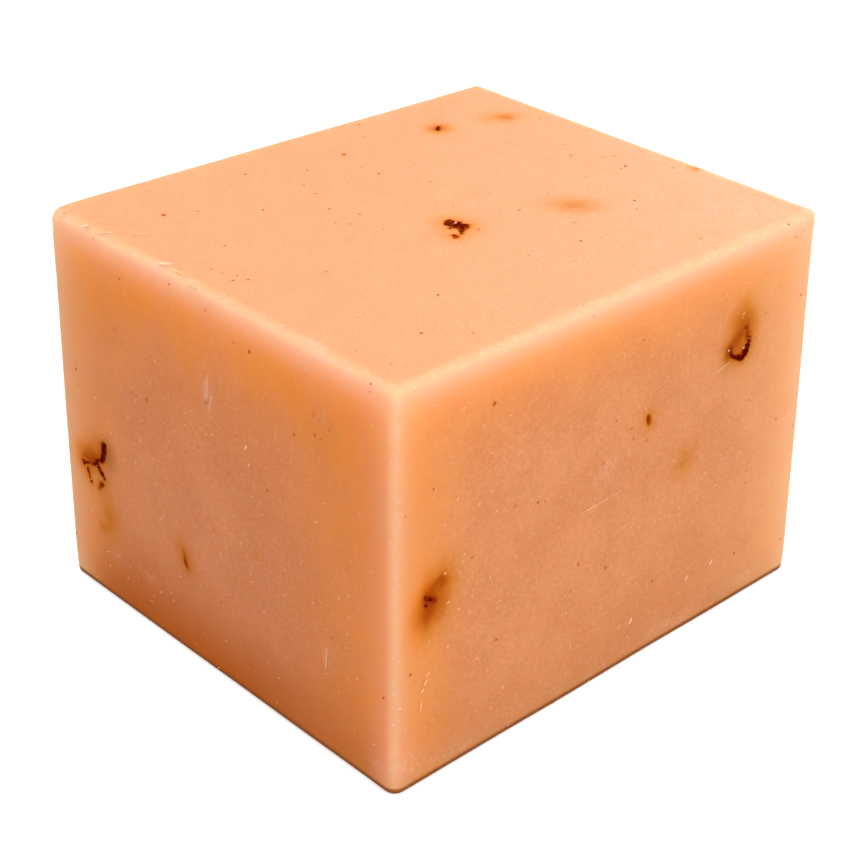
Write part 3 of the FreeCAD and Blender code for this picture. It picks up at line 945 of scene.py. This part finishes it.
# %% Crumb and fleck materials
def make_dust(name, one, two, gloss):
    nodes = Nodes(name)
    colour = nodes.mix(nodes.ramp(nodes.noise(1.7, 1.0, 0.5), 0.4, 0.6), one, two)
    return nodes.shade(Base_Color=colour, Roughness=0.6, Specular_IOR_Level=gloss)


crumb_rust = make_dust("crumb_rust", rgb(240, 134, 52), rgb(200, 92, 22), 0.0)
fleck_pale = make_dust("fleck_pale", rgb(255, 196, 154), rgb(249, 178, 132), 0.05)
chip_white = make_dust("chip_white", rgb(255, 212, 180), rgb(255, 194, 156), 0.05)


# %% The scattering tree
DRIFT_SIZE = 9 * MM
SPIN = 0.7
BEAD_GAP = 0.004 * MM


def scatter_tree(name, material):
    """A tree that strews flattened beads over a mesh."""
    tree = bpy.data.node_groups.new(name, "GeometryNodeTree")
    face = tree.interface
    face.new_socket("Geometry", in_out="INPUT", socket_type="NodeSocketGeometry")
    for label in ("Beads per Area", "Edges Only", "Smallest", "Largest", "Stretch", "Height"):
        face.new_socket(label, in_out="INPUT", socket_type="NodeSocketFloat")
    face.new_socket("Seed", in_out="INPUT", socket_type="NodeSocketInt")
    face.new_socket("Geometry", in_out="OUTPUT", socket_type="NodeSocketGeometry")

    def add(kind, feeds=None, **settings):
        return add_node(tree, kind, feeds, **settings)

    given = add("NodeGroupInput")
    drift = add("ShaderNodeTexNoise", {"Scale": 1 / DRIFT_SIZE})
    thinned = add("ShaderNodeMapRange", {
        "Value": drift["Fac"], "From Min": 0.35, "From Max": 0.65, "To Max": given["Beads per Area"],
    })
    worn = add("GeometryNodeInputNamedAttribute", {"Name": "worn"}, data_type="FLOAT")
    edges = add("ShaderNodeMapRange", {
        "Value": given["Edges Only"], "To Min": 1.0, "To Max": worn["Attribute"],
    })
    density = add("ShaderNodeMath", {0: thinned["Result"], 1: edges["Result"]}, operation="MULTIPLY")
    strew = add("GeometryNodeDistributePointsOnFaces", {
        "Mesh": given["Geometry"], "Density": density[0], "Seed": given["Seed"],
    })

    bead = add("GeometryNodeMeshUVSphere", {"Segments": 8, "Rings": 4, "Radius": 1.0})
    size = add("FunctionNodeRandomValue", {
        2: given["Smallest"], 3: given["Largest"], "Seed": given["Seed"],
    }, data_type="FLOAT")
    shape = add("ShaderNodeCombineXYZ", {"X": given["Stretch"], "Y": 1.0, "Z": given["Height"]})
    scale = add("ShaderNodeVectorMath", {0: shape[0], "Scale": size[1]}, operation="SCALE")

    along = add("FunctionNodeAlignRotationToVector", {
        "Rotation": strew["Rotation"], "Vector": DRAG_WAY,
    }, axis="X", pivot_axis="Z")
    spin = add("FunctionNodeRandomValue", {2: -SPIN, 3: SPIN}, data_type="FLOAT")
    turn = add("FunctionNodeAxisAngleToRotation", {"Axis": (0, 0, 1), "Angle": spin[1]})
    turned = add("FunctionNodeRotateRotation", {0: along[0], 1: turn[0]}, rotation_space="LOCAL")

    beads = add("GeometryNodeInstanceOnPoints", {
        "Points": strew["Points"], "Instance": bead["Mesh"], "Rotation": turned[0], "Scale": scale[0],
    })
    real = add("GeometryNodeRealizeInstances", {0: beads[0]})
    finish = add("GeometryNodeSetMaterial", {"Geometry": real[0], "Material": material})
    add("NodeGroupOutput", {0: finish[0]})
    return tree


def press_inside(data):
    """Move any point that stands out of a wall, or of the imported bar's box, back in."""
    points = np.array([v.co for v in data.vertices])
    for wall in WALLS.values():
        out = wall.split(points)[2] * MM + BEAD_GAP
        points -= np.outer(np.maximum(0.0, out), np.array(wall.outward))
    low, high = np.array(cad_box)
    points = np.clip(points, low + BEAD_GAP, high - BEAD_GAP)
    data.vertices.foreach_set("co", points.ravel())


def scattered(name, material, values):
    """The scatter over the skin as a plain mesh object."""
    tree = scatter_tree(name, material)
    carrier = bpy.data.objects.new(name + "_carrier", soap_skin.data)
    bpy.context.scene.collection.objects.link(carrier)
    modifier = carrier.modifiers.new("scatter", "NODES")
    modifier.node_group = tree
    for item in tree.interface.items_tree:
        if item.item_type == "SOCKET" and item.name in values:
            modifier[item.identifier] = values[item.name]
    evaluated = carrier.evaluated_get(bpy.context.evaluated_depsgraph_get())
    data = bpy.data.meshes.new_from_object(evaluated)
    bpy.data.objects.remove(carrier)
    data.shade_smooth()
    press_inside(data)
    piece = bpy.data.objects.new(name, data)
    bpy.context.scene.collection.objects.link(piece)
    print(name, "faces:", len(data.polygons))
    return piece


crumbs = scattered("petal_dust", crumb_rust, {
    "Beads per Area": 0.035 / MM**2, "Smallest": 0.05 * MM, "Largest": 0.16 * MM,
    "Stretch": 1.3, "Height": 0.12, "Seed": 5,
})
flecks = scattered("soap_flecks", fleck_pale, {
    "Beads per Area": 0.2 / MM**2, "Smallest": 0.02 * MM, "Largest": 0.09 * MM,
    "Stretch": 2.6, "Height": 0.15, "Seed": 11,
})
chips = scattered("edge_chips", chip_white, {
    "Beads per Area": 1.2 / MM**2, "Edges Only": 1.0, "Smallest": 0.02 * MM, "Largest": 0.10 * MM,
    "Stretch": 2.8, "Height": 0.12, "Seed": 3,
})

# %% [markdown]
# A few crumbs are big enough to be known one by one, so they are put where they are on the real
# bar: millimetres across and up the wall, and the crumb's radius.

# %% Crumbs placed one by one
CRUMBS = {
    "front": [
        (-18.4, 39.0, 0.3), (-18.5, 32.5, 0.17), (-17.5, 12.5, 0.2), (-12.1, 26.0, 0.15),
        (-11.1, 25.7, 0.15), (-1.6, 14.0, 0.2), (1.3, 29.2, 0.2), (3.7, 27.0, 0.17),
        (10.4, 23.0, 0.18), (20.5, 25.7, 0.2), (21.2, 16.7, 0.18), (2.3, 38.7, 0.16),
        (-12.9, 32.8, 0.15), (-12.0, 8.0, 0.16),
    ],
    "side": [
        (6.3, 40.7, 0.23), (15.5, 37.7, 0.22), (17.8, 37.1, 0.22), (12.8, 34.5, 0.2), (-16.3, 34.9, 0.2),
        (2.4, 25.8, 0.17), (8.6, 26.6, 0.16), (-12.0, 25.5, 0.15), (6.8, 18.5, 0.25), (-9.8, 15.9, 0.17),
        (-2.6, 11.3, 0.16), (6.6, 11.2, 0.15), (0.6, 9.6, 0.18), (4.9, 3.5, 0.19), (-0.4, 42.6, 0.16),
    ],
    "top": [
        (-22.9, 17.6, 0.3), (2.3, 18.2, 0.33), (-14.3, 11.9, 0.18), (-8.9, 7.6, 0.18), (23.5, -4.9, 0.25),
        (21.3, 1.3, 0.2), (6.8, -19.3, 0.2), (-14.7, -15.1, 0.2), (-21.4, -20.0, 0.2), (28.8, -10.5, 0.25),
        (16.9, -12.1, 0.17), (-17.8, -23.0, 0.18),
    ],
}
CRUMB_HEIGHT, CRUMB_GRAIN = 0.2, 0.12 * MM
SEAT_DEPTH = 0.035


def placed_crumbs():
    """The known crumbs as low, lumpy beads."""
    chance = random.Random(4)
    mesh = bmesh.new()
    for wall_name, spots in CRUMBS.items():
        for across, up, radius in spots:
            seat = WALLS[wall_name].seat(across, up, SEAT_DEPTH, chance.uniform(0, math.pi))
            width = radius * chance.uniform(0.6, 0.9)
            for vertex in flat_ball(mesh, seat, (radius, width, CRUMB_HEIGHT * radius)):
                vertex.co += noise.noise_vector(vertex.co / CRUMB_GRAIN) * 0.2 * radius * MM
                push_under(wall_name, vertex, BEAD_GAP)
    return finished_object("petal_crumbs", mesh, crumb_rust)


crumbs_placed = placed_crumbs()
print("placed crumbs:", sum(len(spots) for spots in CRUMBS.values()))

# %% [markdown]
# Scraps and scratches of pale, dried soap are placed the same way, as long thin beads:
# millimetres across and up the wall, half the length, half the width, and degrees of turn.

# %% Scraps and scratches placed one by one
SCRAPS = {
    "front": [
        (-2.7, 22.3, 3.2, 0.025, 3), (15.2, 31.3, 1.5, 0.02, 11), (16.2, 7.0, 0.40, 0.12, 50),
        (12.1, 6.8, 0.35, 0.10, 50), (3.0, 5.3, 0.40, 0.12, 55), (-27.0, 12.0, 0.35, 0.10, 60),
        (-27.4, 11.2, 0.30, 0.08, 50), (-26.7, 12.8, 0.30, 0.10, 45), (-27.6, 9.4, 0.60, 0.07, 80),
        (18.75, 32.5, 0.16, 0.10, 30), (16.2, 33.0, 0.14, 0.08, 60), (-24.5, 23.3, 0.16, 0.09, 0),
    ],
    "side": [
        (-0.55, 34.3, 1.5, 0.07, 88), (-0.15, 32.6, 1.1, 0.06, 80), (-0.9, 33.2, 0.6, 0.06, 100),
        (5.4, 30.0, 0.35, 0.12, 60), (5.8, 28.2, 0.30, 0.10, 60), (17.4, 11.5, 1.4, 0.07, 85),
        (-2.35, 44.4, 0.7, 0.12, 0), (-21.2, 16.5, 0.12, 0.07, 40),
    ],
    "top": [
        (-30.5, 20.7, 0.5, 0.14, 10), (-30.3, 20.4, 0.3, 0.10, -70), (-30.0, 17.95, 0.9, 0.13, -35),
        (-29.6, 17.6, 0.4, 0.09, -60), (-27.5, 15.3, 0.8, 0.07, -35), (-29.9, 7.8, 0.7, 0.35, -60),
        (-30.1, 5.2, 1.2, 0.06, -85), (-1.6, -3.9, 0.2, 0.1, 0),
    ],
}


SCRAP_HEIGHT, SCRAP_BEND = 0.05, 0.3 * MM


def placed_scraps():
    """The known scraps and scratches as flat, uneven beads."""
    mesh = bmesh.new()
    for wall_name, spots in SCRAPS.items():
        wall = WALLS[wall_name]
        for across, up, half_length, half_width, degrees in spots:
            seat = wall.seat(across, up, SEAT_DEPTH, math.radians(degrees))
            for vertex in flat_ball(mesh, seat, (half_length, half_width, SCRAP_HEIGHT), 3):
                bend = noise.noise_vector(vertex.co / SCRAP_BEND) * 0.5 * half_width * MM
                vertex.co += bend - wall.outward * bend.dot(wall.outward)
                push_under(wall_name, vertex, BEAD_GAP)
    return finished_object("soap_scraps", mesh, chip_white)


scraps = placed_scraps()
print("placed scraps:", sum(len(spots) for spots in SCRAPS.values()))

# %% [markdown]
# ## Floor and light
#
# The photograph is high key: the floor is so bright that it is plain white, and only a thin
# line of shadow shows under the bar. One wide light overhead does most of that. Three fills
# make the front lighter than the side, one stands behind, and a strong one shines in through
# the far wall. The floor glows a little by itself, so that it is white, but its glow is kept
# out of the bar's own light, which would pale the foot.

# %% Floor
FLOOR_HALF = 1.6
floor_corners = [(x * FLOOR_HALF, y * FLOOR_HALF, 0) for x, y in ((-1, -1), (1, -1), (1, 1), (-1, 1))]
floor_data = bpy.data.meshes.new("floor")
floor_data.from_pydata(floor_corners, [], [(0, 1, 2, 3)])
floor_data.materials.append(Nodes("floor_white").shade(
    Base_Color=(0.86, 0.86, 0.86, 1), Roughness=0.9,
    Emission_Color=(1, 1, 1, 1), Emission_Strength=0.5,
))
floor = bpy.data.objects.new("floor", floor_data)
bpy.context.scene.collection.objects.link(floor)
floor.visible_diffuse = False
floor.visible_glossy = False


# %% Lights
def area_light(name, place, size, power):
    """A round soft light that looks at the bar."""
    data = bpy.data.lights.new(name, "AREA")
    data.shape = "DISK"
    data.size = size
    data.energy = power
    light = bpy.data.objects.new(name, data)
    light.location = place
    aim = Vector((0, 0, 0.02)) - Vector(place)
    light.rotation_euler = aim.to_track_quat("-Z", "Y").to_euler()
    bpy.context.scene.collection.objects.link(light)


area_light("overhead", (0.0, 0.0, 0.38), 0.6, 1.4)
area_light("front_fill", (0.1, -0.6, 0.24), 0.4, 2.6)
area_light("side_fill", (-0.6, -0.12, 0.22), 0.4, 1.9)
area_light("corner_fill", (-0.5, -0.5, 0.2), 0.4, 0.5)
area_light("back_fill", (-0.1, 0.8, 0.2), 0.4, 2.4)
area_light("far_fill", (1.1, 0.45, 0.18), 0.7, 11.0)

world = bpy.data.worlds.new("studio")
world.use_nodes = True
world.node_tree.nodes["Background"].inputs["Color"].default_value = (1, 1, 1, 1)
world.node_tree.nodes["Background"].inputs["Strength"].default_value = 0.13
bpy.context.scene.world = world
bpy.context.scene.view_settings.view_transform = "Standard"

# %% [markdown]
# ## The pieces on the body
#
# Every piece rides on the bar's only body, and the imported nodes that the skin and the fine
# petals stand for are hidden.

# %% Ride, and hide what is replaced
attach(soap_skin, "root")
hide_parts("soap_bar")
for node, piece in petal_pieces.items():
    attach(piece, "root")
    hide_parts(node)
for piece in (crumbs, crumbs_placed):
    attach(piece, "root")
for piece in (flecks, chips, scraps):
    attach(piece, "root")

# %% Size of the imported box
print("packed box:", [[round(v, 5) for v in c] for c in cad_box])
